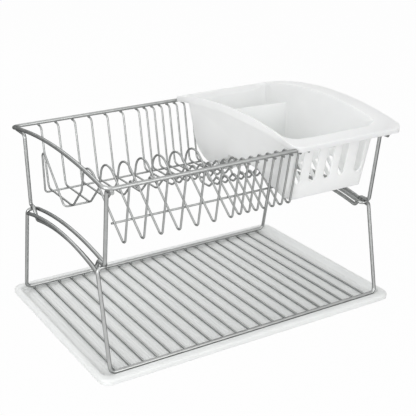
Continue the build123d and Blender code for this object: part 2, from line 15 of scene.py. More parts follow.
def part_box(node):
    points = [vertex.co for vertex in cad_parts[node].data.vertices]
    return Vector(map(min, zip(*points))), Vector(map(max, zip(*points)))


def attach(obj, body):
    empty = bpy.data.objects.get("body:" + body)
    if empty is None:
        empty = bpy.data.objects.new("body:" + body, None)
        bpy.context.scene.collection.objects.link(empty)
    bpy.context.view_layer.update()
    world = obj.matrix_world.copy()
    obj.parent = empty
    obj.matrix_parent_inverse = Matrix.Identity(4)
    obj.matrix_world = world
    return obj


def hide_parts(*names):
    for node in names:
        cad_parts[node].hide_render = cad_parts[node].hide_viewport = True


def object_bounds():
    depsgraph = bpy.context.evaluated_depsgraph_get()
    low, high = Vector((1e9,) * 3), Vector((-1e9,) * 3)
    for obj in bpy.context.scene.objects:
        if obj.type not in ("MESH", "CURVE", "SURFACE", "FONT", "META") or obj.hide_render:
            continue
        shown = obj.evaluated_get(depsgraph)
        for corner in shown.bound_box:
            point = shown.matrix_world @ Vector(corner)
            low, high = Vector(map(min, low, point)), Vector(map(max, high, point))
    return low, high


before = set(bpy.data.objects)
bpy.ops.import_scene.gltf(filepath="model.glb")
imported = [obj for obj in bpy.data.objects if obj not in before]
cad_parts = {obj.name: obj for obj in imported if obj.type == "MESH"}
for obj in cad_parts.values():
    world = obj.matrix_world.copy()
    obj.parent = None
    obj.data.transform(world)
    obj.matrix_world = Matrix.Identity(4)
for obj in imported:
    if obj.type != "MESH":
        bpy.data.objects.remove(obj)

MM = 0.001
cad_low, cad_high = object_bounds()
print("the rack measures", [round(v, 3) for v in cad_high - cad_low], "m")

# %% [markdown]
# ## Camera
# A product picture of a rack is taken from a little above the rim, from the front left, with a long lens so
# that the wires stay almost parallel. The camera is placed by its heading, its tilt and its roll, and a small
# sideways shift of the lens sets the rack in the frame without turning the camera.

# %% Place the camera
CAMERA_PLACE = Vector((-0.6783, -1.0904, 0.6586))
CAMERA_HEADING = 0.5107  # radians from +Y towards +X
CAMERA_TILT = 0.3794     # radians below the horizon
CAMERA_ROLL = -0.0150
CAMERA_LENS = 78.49
CAMERA_SHIFT = 0.1154


def camera_turn(heading, tilt, roll):
    """Rotation of a camera that looks along a heading, tilted down and rolled."""
    look = Vector((
        math.sin(heading) * math.cos(tilt),
        math.cos(heading) * math.cos(tilt),
        -math.sin(tilt),
    ))
    right = Vector((math.cos(heading), -math.sin(heading), 0))
    up = right.cross(look)
    rolled_right = math.cos(roll) * right + math.sin(roll) * up
    rolled_up = math.cos(roll) * up - math.sin(roll) * right
    return Matrix((rolled_right, rolled_up, -look)).transposed()


camera_data = bpy.data.cameras.new("product_camera")
camera_data.sensor_width = 36
camera_data.lens = CAMERA_LENS
camera_data.shift_x = CAMERA_SHIFT
camera_data.clip_start = 0.01
camera_data.clip_end = 50
camera = bpy.data.objects.new("product_camera", camera_data)
bpy.context.scene.collection.objects.link(camera)
turn = camera_turn(CAMERA_HEADING, CAMERA_TILT, CAMERA_ROLL)
camera.matrix_world = Matrix.Translation(CAMERA_PLACE) @ turn.to_4x4()
bpy.context.scene.camera = camera
print("camera", [round(v, 3) for v in CAMERA_PLACE])

# %% [markdown]
# ## Floor, world and lamps
# The rack stands on white paper. Polished wire shows whatever is around it, so the world is white for the
# camera and for reflections, and only a plain grey lights the scene. Four large soft lamps shape the plastic,
# most of all from the left and the front. Wire under a white sky alone looks flat, so two flags lie beside
# the rack where only reflections see them, a grey one on the left and a darker one on the right. They draw a
# dark edge on each wire, as in a studio.

# %% Helpers for node trees
scene = bpy.context.scene
scene.view_settings.view_transform = "Standard"


def new_material(name):
    """Empty node material with its output node."""
    material = bpy.data.materials.new(name)
    material.use_nodes = True
    tree = material.node_tree
    tree.nodes.clear()
    return material, tree, tree.nodes.new("ShaderNodeOutputMaterial")


def add_node(tree, kind, **values):
    """New node: values go to its sockets, or to its own settings where it has no such socket."""
    node = tree.nodes.new(kind)
    for key, value in values.items():
        name = key.replace("_", " ")
        if name in node.inputs:
            node.inputs[name].default_value = value
        else:
            setattr(node, key, value)
    return node


def seen_directly(tree):
    """1 for rays from the camera, off shiny surfaces and through clear ones, else 0."""
    path = tree.nodes.new("ShaderNodeLightPath")
    shiny = add_node(tree, "ShaderNodeMath", operation="MAXIMUM")
    clear = add_node(tree, "ShaderNodeMath", operation="MAXIMUM")
    tree.links.new(path.outputs["Is Camera Ray"], shiny.inputs[0])
    tree.links.new(path.outputs["Is Glossy Ray"], shiny.inputs[1])
    tree.links.new(shiny.outputs[0], clear.inputs[0])
    tree.links.new(path.outputs["Is Transmission Ray"], clear.inputs[1])
    return clear.outputs[0]


# %% White world that lights with a plain grey
WORLD_LIGHT = 0.6

world = bpy.data.worlds.new("studio_world")
scene.world = world
world.use_nodes = True
tree = world.node_tree
tree.nodes.clear()
world_out = tree.nodes.new("ShaderNodeOutputWorld")
lighting = add_node(tree, "ShaderNodeBackground", Color=(1, 1, 1, 1), Strength=WORLD_LIGHT)
backdrop = add_node(tree, "ShaderNodeBackground", Color=(1, 1, 1, 1), Strength=1.0)
mix = tree.nodes.new("ShaderNodeMixShader")
tree.links.new(seen_directly(tree), mix.inputs[0])
tree.links.new(lighting.outputs[0], mix.inputs[1])
tree.links.new(backdrop.outputs[0], mix.inputs[2])
tree.links.new(mix.outputs[0], world_out.inputs["Surface"])
print("world lights at", WORLD_LIGHT)

# %% White paper under the rack
PAPER_SIZE = 12.0
PAPER_GREY = 0.72
PAPER_GLOW = 0.97  # share of the paper's own white, the rest takes light and shadow
PAPER_DROP = 0.5 * MM

paper_material, tree, out = new_material("white_paper")
matte = add_node(tree, "ShaderNodeBsdfDiffuse", Color=(PAPER_GREY, PAPER_GREY, PAPER_GREY, 1))
glow = add_node(tree, "ShaderNodeEmission", Color=(1, 1, 1, 1), Strength=1.0)
share = add_node(tree, "ShaderNodeMath", operation="MULTIPLY")
share.inputs[1].default_value = PAPER_GLOW
mix = tree.nodes.new("ShaderNodeMixShader")
tree.links.new(seen_directly(tree), share.inputs[0])
tree.links.new(share.outputs[0], mix.inputs[0])
tree.links.new(matte.outputs[0], mix.inputs[1])
tree.links.new(glow.outputs[0], mix.inputs[2])
tree.links.new(mix.outputs[0], out.inputs["Surface"])

mesh = bpy.data.meshes.new("paper_floor")
half = PAPER_SIZE / 2
corners = [(-half, -half, 0), (half, -half, 0), (half, half, 0), (-half, half, 0)]
mesh.from_pydata(corners, [], [(0, 1, 2, 3)])
mesh.materials.append(paper_material)
paper = bpy.data.objects.new("paper_floor", mesh)
paper.location.z = cad_low.z - PAPER_DROP
scene.collection.objects.link(paper)
print("paper at", round(paper.location.z, 4))


# %% Lamps
LAMPS = [  # name, place and size in metres, power in watts
    ("lamp_above", (-0.7, -0.5, 2.1), 1.2, 4),
    ("lamp_left", (-2.0, -1.2, 0.8), 1.2, 21),
    ("lamp_front", (0.5, -2.3, 0.8), 1.2, 12),
    ("lamp_behind", (0.2, 1.8, 1.6), 1.4, 9),
]


def soft_lamp(name, place, size, watts):
    """Square area lamp that faces the middle of the rack."""
    data = bpy.data.lights.new(name, "AREA")
    data.shape = "SQUARE"
    data.size = size
    data.energy = watts
    lamp = bpy.data.objects.new(name, data)
    lamp.location = place
    aim = (cad_low + cad_high) / 2 - Vector(place)
    lamp.rotation_euler = aim.to_track_quat("-Z", "Y").to_euler()
    scene.collection.objects.link(lamp)


for lamp_row in LAMPS:
    soft_lamp(*lamp_row)
print(len(LAMPS), "lamps")

# %% Dark flags that only polished wire sees
LEFT_FLAG_GREY = 0.6
RIGHT_FLAG_GREY = 0.28
FLAG_NEAR = 0.3  # near and far edges, in metres from the middle of the rack
FLAG_FAR = 3.0
FLAG_NEAR_WIDTH = 1.8
FLAG_FAR_WIDTH = 4.4
FLAG_HEIGHT = 2.6
FLAG_TURN = 1.15  # from the way the camera looks, to either side
FLAG_DROP = 0.2 * MM  # under the rack, and still above the paper


def dark_flag(name, heading, grey):
    """Dark card that lies on the paper beside the rack and turns up at its far end, out of sight."""
    felt, tree, out = new_material(name + "_felt")
    tone = add_node(tree, "ShaderNodeEmission", Color=(1, 1, 1, 1), Strength=grey)
    tree.links.new(tone.outputs[0], out.inputs["Surface"])
    ahead = Vector((math.sin(heading), math.cos(heading), 0))
    aside = Vector((math.cos(heading), -math.sin(heading), 0))
    lift = Vector((0, 0, cad_low.z - FLAG_DROP))
    near_edge = FLAG_NEAR_WIDTH / 2 * aside
    far_edge = FLAG_FAR_WIDTH / 2 * aside
    near = [FLAG_NEAR * ahead + side * near_edge + lift for side in (-1, 1)]
    far = [FLAG_FAR * ahead + side * far_edge + lift for side in (1, -1)]
    top = [corner + Vector((0, 0, FLAG_HEIGHT)) for corner in reversed(far)]
    mesh = bpy.data.meshes.new(name)
    mesh.from_pydata(near + far + top, [], [(0, 1, 2, 3), (3, 2, 5, 4)])
    mesh.materials.append(felt)
    flag = bpy.data.objects.new(name, mesh)
    scene.collection.objects.link(flag)
    flag.visible_camera = False
    flag.visible_diffuse = False
    flag.visible_transmission = False
    flag.visible_shadow = False


dark_flag("flag_left", CAMERA_HEADING - FLAG_TURN, LEFT_FLAG_GREY)
dark_flag("flag_right", CAMERA_HEADING + FLAG_TURN, RIGHT_FLAG_GREY)
print("two flags")

# %% [markdown]
# ## Finishes
# The wire is steel with a satin chrome coat: metal whose tone and gloss drift a little from place to place.
# The plastics are milky polypropylene: light passes a little way in, further in the thin basket than in the
# tray, the skin is softly pebbled, and there is no sharp reflection. Both are built the same way, from one
# wide noise for tone and gloss and one fine noise for the skin, so one function makes them.


# %% One function for every finish
def uneven_finish(name, tones, ramp, cloud, grain, roughness, bump, skin):
    """Finish whose tone and gloss drift from place to place, with a fine bump in its skin."""
    material, tree, out = new_material(name)
    place = tree.nodes.new("ShaderNodeTexCoord")
    drift = add_node(tree, "ShaderNodeTexNoise", **cloud)
    fine = add_node(tree, "ShaderNodeTexNoise", **grain)
    tone = tree.nodes.new("ShaderNodeValToRGB")
    for element, position, colour in zip(tone.color_ramp.elements, ramp, tones):
        element.position = position
        element.color = (*colour, 1)
    gloss = add_node(tree, "ShaderNodeMapRange", To_Min=roughness[0], To_Max=roughness[1])
    relief = add_node(tree, "ShaderNodeBump", **bump)
    surface = add_node(tree, "ShaderNodeBsdfPrincipled", **skin)
    for noise in (drift, fine):
        tree.links.new(place.outputs["Object"], noise.inputs["Vector"])
    tree.links.new(drift.outputs["Fac"], tone.inputs["Fac"])
    tree.links.new(drift.outputs["Fac"], gloss.inputs["Value"])
    tree.links.new(fine.outputs["Fac"], relief.inputs["Height"])
    tree.links.new(tone.outputs["Color"], surface.inputs["Base Color"])
    tree.links.new(gloss.outputs["Result"], surface.inputs["Roughness"])
    tree.links.new(relief.outputs["Normal"], surface.inputs["Normal"])
    tree.links.new(surface.outputs[0], out.inputs["Surface"])
    return material


# %% Satin chrome for the wire
CHROME_GREY = 0.44
CHROME_DARK = (0.9, 0.92, 0.91)    # share of the grey in the darker patches
CHROME_LIGHT = (1.06, 1.08, 1.07)  # and in the lighter ones

chrome = uneven_finish(
    "satin_chrome",
    tones=[[CHROME_GREY * share for share in shares] for shares in (CHROME_DARK, CHROME_LIGHT)],
    ramp=(0.3, 0.7),
    cloud={"Scale": 90.0, "Detail": 3.0},
    grain={"Scale": 260.0, "Detail": 2.0},
    roughness=(0.3, 0.38),
    bump={"Strength": 0.015, "Distance": 0.0001},
    skin={"Metallic": 1.0, "Specular_Tint": (0.02, 0.02, 0.02, 1)},
)
print("finish", chrome.name)

# %% Milky plastic for the tray and the basket
CLOUDY = 0.96  # share of the colour in the darker patches


def milky_plastic(name, colour, pebble, milk, depth):
    """Moulded polypropylene: pale, a little cloudy, softly pebbled."""
    return uneven_finish(
        name,
        tones=[[CLOUDY * c for c in colour], colour],
        ramp=(0.35, 0.65),
        cloud={"Scale": 14.0, "Detail": 2.0},
        grain={"Scale": pebble, "Detail": 2.0},
        roughness=(0.38, 0.5),
        bump={"Strength": 0.12, "Distance": 0.0003},
        skin={
            "Subsurface_Weight": milk,
            "Subsurface_Scale": depth,
            "Subsurface_Radius": (1.0, 1.0, 0.95),
        },
    )


tray_plastic = milky_plastic("milky_tray", (0.87, 0.885, 0.875), 420.0, 0.25, 4 * MM)
basket_plastic = milky_plastic("milky_basket", (0.935, 0.95, 0.94), 520.0, 0.7, 8 * MM)
print("finishes", tray_plastic.name, basket_plastic.name)

# %% [markdown]
# ## Bent wire
# Every wire of the rack is a path of straight runs and round bends with a round section along it. A path
# could be drawn as a Bezier curve by hand, but then a bend's radius is only a guess. Here a path is a chain
# of corners, each with its own bend radius, and one Geometry Nodes tree does what the wire bender does:
# Fillet Curve rounds the corners, Curve to Mesh runs the section along, and a row of copies makes the set.
# Tight bends get a step every few degrees, and wide arches as many as it takes to look round.

# %% Wire sizes
FRAME_WIRE = 5.5 * MM
THIN_WIRE = 3.0 * MM
MELT = 0.1 * MM  # depth of a weld
REST = 0.3 * MM  # gap that stands for one piece resting on another

FRAME_SIDES = 28
THIN_SIDES = 18
TURN_PER_STEP = math.radians(5)
CHORD_ERROR = 0.02 * MM  # how far a step may cut inside a wide bend
print("frame wire", FRAME_WIRE, "thin wire", THIN_WIRE)


# %% One path of corners as a chain mesh
def bend_steps(turn, radius):
    """Steps that keep a bend round, whether it is tight or wide."""
    widest = TURN_PER_STEP
    if radius > CHORD_ERROR:
        widest = min(widest, 2 * math.acos(1 - CHORD_ERROR / radius))
    return max(2, math.ceil(turn / widest))


def chain_mesh(name, paths):
    """Corners, bend radii and steps of each path, as the vertices of an edge chain."""
    places, edges, bends, steps = [], [], [], []
    for corners, radii, closed in paths:
        first = len(places)
        count = len(corners)
        for i, corner in enumerate(corners):
            at_tip = not closed and i in (0, count - 1)
            before = Vector(corners[i - 1])
            after = Vector(corners[(i + 1) % count])
            here = Vector(corner)
            turn = 0 if at_tip else (here - before).angle(after - here)
            radius = 0.0 if at_tip else radii[i]
            places.append(here)
            bends.append(radius)
            steps.append(bend_steps(turn, radius))
        edges += [(first + i, first + i + 1) for i in range(count - 1)]
        if closed:
            edges.append((first + count - 1, first))
    mesh = bpy.data.meshes.new(name)
    mesh.from_pydata(places, edges, [])
    bend_layer = mesh.attributes.new("bend", "FLOAT", "POINT")
    bend_layer.data.foreach_set("value", bends)
    step_layer = mesh.attributes.new("steps", "INT", "POINT")
    step_layer.data.foreach_set("value", steps)
    return mesh


def straight_path(start, end):
    """Path of one straight wire."""
    return [start, end], [0, 0], False


# %% Helpers for Geometry Nodes trees
def geometry_tree(name, inputs):
    """Empty Geometry Nodes tree with its named inputs and one geometry output."""
    tree = bpy.data.node_groups.new(name, "GeometryNodeTree")
    for label, kind in inputs:
        tree.interface.new_socket(label, in_out="INPUT", socket_type=kind)
    tree.interface.new_socket("Geometry", in_out="OUTPUT", socket_type="NodeSocketGeometry")
    return tree, tree.nodes.new("NodeGroupInput"), tree.nodes.new("NodeGroupOutput")


def link_all(tree, pairs):
    """Link each output to its input."""
    for start, end in pairs:
        tree.links.new(start, end)


def named_value(tree, name, kind):
    """Node that reads a stored value of each corner."""
    node = tree.nodes.new("GeometryNodeInputNamedAttribute")
    node.data_type = kind
    node.inputs["Name"].default_value = name
    return node.outputs["Attribute"]


# %% The tree that bends, sweeps and repeats
def bent_wire_tree():
    """Geometry Nodes: chain of corners in, row of round bent wires out."""
    tree, given, result = geometry_tree("bent_wire", [
        ("Geometry", "NodeSocketGeometry"),
        ("Diameter", "NodeSocketFloat"),
        ("Sides", "NodeSocketInt"),
        ("Copies", "NodeSocketInt"),
        ("Pitch", "NodeSocketFloat"),
        ("Finish", "NodeSocketMaterial"),
    ])
    path = tree.nodes.new("GeometryNodeMeshToCurve")
    bend = tree.nodes.new("GeometryNodeFilletCurve")
    bend.mode = "POLY"
    radius = add_node(tree, "ShaderNodeMath", operation="MULTIPLY")
    radius.inputs[1].default_value = 0.5
    section = tree.nodes.new("GeometryNodeCurvePrimitiveCircle")
    sweep = tree.nodes.new("GeometryNodeCurveToMesh")
    sweep.inputs["Fill Caps"].default_value = True
    offset = tree.nodes.new("ShaderNodeCombineXYZ")
    row = tree.nodes.new("GeometryNodeMeshLine")
    place = tree.nodes.new("GeometryNodeInstanceOnPoints")
    real = tree.nodes.new("GeometryNodeRealizeInstances")
    finish = tree.nodes.new("GeometryNodeSetMaterial")
    link_all(tree, [
        (given.outputs["Geometry"], path.inputs["Mesh"]),
        (path.outputs["Curve"], bend.inputs["Curve"]),
        (named_value(tree, "bend", "FLOAT"), bend.inputs["Radius"]),
        (named_value(tree, "steps", "INT"), bend.inputs["Count"]),
        (given.outputs["Diameter"], radius.inputs[0]),
        (radius.outputs[0], section.inputs["Radius"]),
        (given.outputs["Sides"], section.inputs["Resolution"]),
        (bend.outputs["Curve"], sweep.inputs["Curve"]),
        (section.outputs["Curve"], sweep.inputs["Profile Curve"]),
        (given.outputs["Copies"], row.inputs["Count"]),
        (given.outputs["Pitch"], offset.inputs["X"]),
        (offset.outputs["Vector"], row.inputs["Offset"]),
        (row.outputs["Mesh"], place.inputs["Points"]),
        (sweep.outputs["Mesh"], place.inputs["Instance"]),
        (place.outputs["Instances"], real.inputs["Geometry"]),
        (real.outputs["Geometry"], finish.inputs["Geometry"]),
        (given.outputs["Finish"], finish.inputs["Material"]),
        (finish.outputs["Geometry"], result.inputs["Geometry"]),
    ])
    return tree


BENT_WIRE = bent_wire_tree()
print("tree", BENT_WIRE.name, len(BENT_WIRE.nodes), "nodes")


# %% From a tree to a finished piece
def set_inputs(modifier, values):
    """Set a Geometry Nodes modifier's inputs by the names that its tree gives them."""
    for item in modifier.node_group.interface.items_tree:
        if item.in_out == "INPUT" and item.name in values:
            modifier[item.identifier] = values[item.name]


def made_plain(rough, name):
    """Turn what an object's modifiers make into a plain mesh of its own, with faces pointing outwards."""
    bpy.context.view_layer.update()
    seen = rough.evaluated_get(bpy.context.evaluated_depsgraph_get())
    made = bpy.data.objects.new(name, bpy.data.meshes.new_from_object(seen))
    bpy.data.objects.remove(rough)
    for layer in ("bend", "steps"):
        if layer in made.data.attributes:
            made.data.attributes.remove(made.data.attributes[layer])
    scene.collection.objects.link(made)
    shell = bmesh.new()
    shell.from_mesh(made.data)
    if shell.calc_volume(signed=True) < 0:
        bmesh.ops.reverse_faces(shell, faces=shell.faces)
        shell.to_mesh(made.data)
    shell.free()
    return made


def bent_wires(name, paths, diameter, sides, copies=1, pitch=0.0, finish=chrome):
    """A row of bent wires as one plain mesh."""
    rough = bpy.data.objects.new(name + ".path", chain_mesh(name, paths))
    scene.collection.objects.link(rough)
    modifier = rough.modifiers.new("bend and sweep", "NODES")
    modifier.node_group = BENT_WIRE
    set_inputs(modifier, {
        "Diameter": diameter,
        "Sides": sides,
        "Copies": copies,
        "Pitch": pitch,
        "Finish": finish,
    })
    return made_plain(rough, name)


def finish_piece(piece, body, nodes):
    """Hang a finished piece on its body, in place of the plain CAD pieces, and report how they compare."""
    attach(piece, body)
    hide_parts(*nodes)
    boxes = [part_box(node) for node in nodes]
    low = Vector([min(b[0][i] for b in boxes) for i in range(3)])
    high = Vector([max(b[1][i] for b in boxes) for i in range(3)])
    corners = [v.co for v in piece.data.vertices]
    seen_low = Vector([min(c[i] for c in corners) for i in range(3)])
    seen_high = Vector([max(c[i] for c in corners) for i in range(3)])
    off = max(abs(v) for v in (*(seen_low - low), *(seen_high - high)))
    print(piece.name, len(corners), "points, off the CAD box by", round(off / MM, 2), "mm")


# %% [markdown]
# ## Lower rack
# One heavy wire goes once round: along the bottom, up a leaning leg, a short turn towards the middle, and
# over an arch to the other leg. A second arch is welded between the legs a little under their tops, and 21
# light wires lie under the bottom rails as a shelf.

# %% Heights of the lower rack
TRAY_FLOOR = 2.2 * MM
LOWER_LENGTH = 460 * MM
LOWER_WIDTH = 298.5 * MM
LEG_TOPS_APART = 241.4 * MM
LEG_HEIGHT = 142.3 * MM
LEG_TURN = 14.5 * MM
RAIL_BEND = 8.0 * MM
TOP_BEND = 6.4 * MM
ARCH_RISE = 11.7 * MM
ARCH_FILL = 0.97  # share of the widest bend that fits between the ends

RAIL_Z = TRAY_FLOOR + REST + THIN_WIRE + FRAME_WIRE / 2 - MELT
LEG_TOP_Z = RAIL_Z + LEG_HEIGHT
CROSS_Z = LEG_TOP_Z + FRAME_WIRE + REST
print("bottom rails at", round(RAIL_Z, 4), "and leg tops at", round(LEG_TOP_Z, 4))


def arch(half_span, rise, margin):
    """Corner height and bend radius of an arch that stands `rise` above its ends."""
    apex = 2 * rise * half_span / (half_span + margin)
    slope = apex / half_span
    return apex, ARCH_FILL * (half_span - margin) * math.hypot(1, slope) / slope


# %% Frame of the lower rack
end_x = LOWER_LENGTH / 2
arch_x = end_x - LEG_TURN
rail_y = LOWER_WIDTH / 2
top_y = LEG_TOPS_APART / 2
apex, bend = arch(top_y, ARCH_RISE, TOP_BEND)
half = [
    ((end_x, -rail_y, RAIL_Z), RAIL_BEND),
    ((end_x, -top_y, LEG_TOP_Z), TOP_BEND),
    ((arch_x, -top_y, LEG_TOP_Z), TOP_BEND),
    ((arch_x, 0, LEG_TOP_Z + apex), bend),
    ((arch_x, top_y, LEG_TOP_Z), TOP_BEND),
    ((end_x, top_y, LEG_TOP_Z), TOP_BEND),
    ((end_x, rail_y, RAIL_Z), RAIL_BEND),
]
loop = half + [((-x, y, z), radius) for (x, y, z), radius in reversed(half)]
frame_path = ([place for place, _ in loop], [radius for _, radius in loop], True)
lower_frame = bent_wires("lower_frame_wire", [frame_path], FRAME_WIRE, FRAME_SIDES)
finish_piece(lower_frame, "lower_rack", ["lower_frame"])

# %% Second arches
SECOND_ARC_DROP = 5.3 * MM
SECOND_ARC_RISE = 14.0 * MM
SECOND_ARC_SINK = 0.8 * MM

lean = (rail_y - top_y) / LEG_HEIGHT
arc_height = LEG_HEIGHT - SECOND_ARC_DROP
leg_here = rail_y - lean * arc_height
fall = math.atan2(2 * SECOND_ARC_RISE, leg_here)
leg_middle = rail_y - lean * (arc_height + FRAME_WIRE / 2 * math.cos(fall))
leg_inside = leg_middle - FRAME_WIRE / 2 * math.hypot(1, lean)
arc_y = leg_inside + SECOND_ARC_SINK - FRAME_WIRE / 2 * math.sin(fall)
apex, bend = arch(arc_y, SECOND_ARC_RISE, 0)
arc_paths = []
for x in (-end_x, end_x):
    corners = [
        (x, -arc_y, RAIL_Z + arc_height),
        (x, 0, RAIL_Z + arc_height + apex),
        (x, arc_y, RAIL_Z + arc_height),
    ]
    arc_paths.append((corners, [0, bend, 0], False))
second_arches = bent_wires("second_arches", arc_paths, FRAME_WIRE, FRAME_SIDES)
finish_piece(second_arches, "lower_rack", ["lower_end_arc_left", "lower_end_arc_right"])

# %% Shelf wires
SHELF_WIRES = 21
SHELF_END = 12.5 * MM

shelf_x = -end_x + SHELF_END
shelf_pitch = (LOWER_LENGTH - 2 * SHELF_END) / (SHELF_WIRES - 1)
shelf_z = RAIL_Z - FRAME_WIRE / 2 - THIN_WIRE / 2 + MELT
shelf_reach = rail_y + THIN_WIRE / 2
shelf_path = straight_path((shelf_x, -shelf_reach, shelf_z), (shelf_x, shelf_reach, shelf_z))
shelf_wires = bent_wires("shelf_wires", [shelf_path], THIN_WIRE, THIN_SIDES, SHELF_WIRES, shelf_pitch)
shelf_nodes = [f"shelf_wire_{i + 1:02d}" for i in range(SHELF_WIRES)]
finish_piece(shelf_wires, "lower_rack", shelf_nodes)

# %% [markdown]
# ## Upper rack
# A heavy closed rim carries everything. Its side rails arch up in the middle. At each end one more heavy
# wire comes down from the rim as a leg, hooks in over the turned-in top of the lower rack, and runs across as
# a low arch, so the upper rack simply stands on the lower one.

# %% Rim
RIM_PAST_END = 9.25 * MM
RIM_PAST_TOP = 37.0 * MM
RIM_BEND = 14.0 * MM
SIDE_RISE = 13.8 * MM
UPPER_LEG_HEIGHT = 115.3 * MM

RIM_Z = CROSS_Z + UPPER_LEG_HEIGHT
rim_y = top_y + RIM_PAST_TOP
end_wire_x = (LOWER_LENGTH - LEG_TURN) / 2
rim_x = end_wire_x + RIM_PAST_END
apex, bend = arch(rim_y, SIDE_RISE, RIM_BEND)
rim_corners = [
    (rim_x, -rim_y, RIM_Z),
    (rim_x, 0, RIM_Z + apex),
    (rim_x, rim_y, RIM_Z),
    (-rim_x, rim_y, RIM_Z),
    (-rim_x, 0, RIM_Z + apex),
    (-rim_x, -rim_y, RIM_Z),
]
rim_path = (rim_corners, 2 * [RIM_BEND, bend, RIM_BEND], True)
rim = bent_wires("rim_wire", [rim_path], FRAME_WIRE, FRAME_SIDES)
finish_piece(rim, "upper_rack", ["upper_rim"])

# %% End wires
FRONT_FOOT_OUT = 8.6 * MM
FRONT_TOP_IN = 14.7 * MM
BACK_FOOT_OUT = 2.5 * MM
BACK_TOP_IN = 28.3 * MM
HOOK_REACH = 9.6 * MM
HOOK_DROP = 16.6 * MM
HOOK_SLANT = 11.0 * MM
LOW_ARC_RISE = 10.2 * MM
FLARE_BEND = 7.0 * MM
BACK_LEG_BEND = 4.0 * MM
HOOK_BEND = 5.0 * MM
LOW_ARC_BEND = 5.5 * MM


def leg_outline(top_in, foot_out, foot_bend):
    """Corners and bends of one leg and hook, by distance from the middle."""
    flare_z = RIM_Z - FRAME_WIRE + 2 * MELT
    run_y = top_y - HOOK_REACH
    return [
        ((rim_y + FRAME_WIRE / 4, flare_z), 0),
        ((rim_y - top_in, flare_z), FLARE_BEND),
        ((top_y + foot_out, CROSS_Z), foot_bend),
        ((run_y, CROSS_Z), HOOK_BEND),
        ((run_y - HOOK_SLANT, CROSS_Z - HOOK_DROP), LOW_ARC_BEND),
    ]


front_leg = [((-y, z), radius) for (y, z), radius in leg_outline(FRONT_TOP_IN, FRONT_FOOT_OUT, TOP_BEND)]
back_leg = leg_outline(BACK_TOP_IN, BACK_FOOT_OUT, BACK_LEG_BEND)
arc_half, arc_z = back_leg[-1][0]
apex, bend = arch(arc_half, LOW_ARC_RISE, TOP_BEND)
outline = front_leg + [((0, arc_z + apex), bend)] + back_leg[::-1]
end_paths = []
for x in (-end_wire_x, end_wire_x):
    corners = [(x, y, z) for (y, z), _ in outline]
    end_paths.append((corners, [radius for _, radius in outline], False))
end_wires = bent_wires("end_wires", end_paths, FRAME_WIRE, FRAME_SIDES)
finish_piece(end_wires, "upper_rack", ["end_wire_left", "end_wire_right"])

# %% [markdown]
# ## Waved wires
# The seven wires on the left rise in one tall ridge, so a plate stands between two of them and leans on
# neither its neighbour nor the basket. The seven on the right have two low ridges for cups and saucers. Both
# kinds share their back wall, their trough and the front arm, so those corners are written once.

# %% Corners that both waves share
BASIN_DEPTH = 97.8 * MM
BACK_TOP_IN_RIM = 8.7 * MM
BACK_TOP_BEND = 7.0 * MM
BACK_FOOT_IN_RIM = 25.4 * MM
BACK_FOOT_BEND = 8.0 * MM
TIP_OVERHANG = 2.4 * MM
TROUGH_IN_RIM = 38.1 * MM
TROUGH_DROP = 2.4 * MM
TROUGH_BEND = 6.0 * MM
FRONT_FLARE = 18.5 * MM
FRONT_HUMP = 3.4 * MM
FRONT_BEND = 5.0 * MM

floor_z = RIM_Z - BASIN_DEPTH
under_rim_z = RIM_Z - FRAME_WIRE / 2 - THIN_WIRE / 2 + MELT
trough_y = TROUGH_IN_RIM - rim_y
trough_z = floor_z - TROUGH_DROP
back_run = [
    ((rim_y + TIP_OVERHANG, under_rim_z), 0),
    ((rim_y - BACK_TOP_IN_RIM, under_rim_z), BACK_TOP_BEND),
    ((rim_y - BACK_FOOT_IN_RIM, floor_z), BACK_FOOT_BEND),
]
front_arm = (-rim_y + FRONT_FLARE, under_rim_z + FRONT_HUMP)
front_tip = (-rim_y - TIP_OVERHANG, under_rim_z - FRONT_HUMP * TIP_OVERHANG / FRONT_FLARE)
front_run = [(front_arm, FRONT_BEND), (front_tip, 0)]
print("floor of the waves at", round(floor_z, 4), "and trough at", round(trough_z, 4))


def middle_run(rows):
    """Corners and bends from rows of y, height above the floor and bend radius, all in mm."""
    return [((y * MM, floor_z + height * MM), bend * MM) for y, height, bend in rows]


def wave_path(x, middle):
    """Path of one waved wire in the plane at x."""
    outline = back_run + middle + front_run
    return [(x, y, z) for (y, z), _ in outline], [radius for _, radius in outline], False


# %% Tall waves for plates
PLATE_WIRES = 7
PLATE_PITCH = 28.0 * MM
PLATE_START = 44.0 * MM
PLATE_RIDGE = [  # y, height above the floor and bend radius, in mm
    (44.0, 0.0, 14.0),
    (10.5, 34.0, 20.0),
    (-6.4, 92.6, 23.0),
]

plate_x = PLATE_START - rim_x
plate_middle = middle_run(PLATE_RIDGE)
ridge = plate_middle[-1][0]
plate_middle.append(((trough_y, trough_z), TROUGH_BEND))
plate_path = wave_path(plate_x, plate_middle)
plate_waves = bent_wires("plate_waves", [plate_path], THIN_WIRE, THIN_SIDES, PLATE_WIRES, PLATE_PITCH)
plate_nodes = [f"plate_wire_{i + 1:02d}" for i in range(PLATE_WIRES)]
finish_piece(plate_waves, "upper_rack", plate_nodes)

# %% Where the trough rod lies, and where the low waves meet it
ROD_SHARE = 0.26  # of the way up the front slope of the tall ridge
CUP_RIDGES = [  # y, height above the floor and bend radius, in mm
    (46.0, 0.0, 10.0),
    (5.0, 43.4, 8.0),
    (-17.0, 21.6, 8.0),
    (-40.0, 21.6, 8.0),
    (-60.5, 44.5, 8.0),
]

slope_y = ridge[0] - trough_y
slope_z = ridge[1] - trough_z
slope_length = math.hypot(slope_y, slope_z)
touch = THIN_WIRE - MELT
rod_y = trough_y + ROD_SHARE * slope_y + touch * slope_z / slope_length
rod_z = trough_z + ROD_SHARE * slope_z - touch * slope_y / slope_length

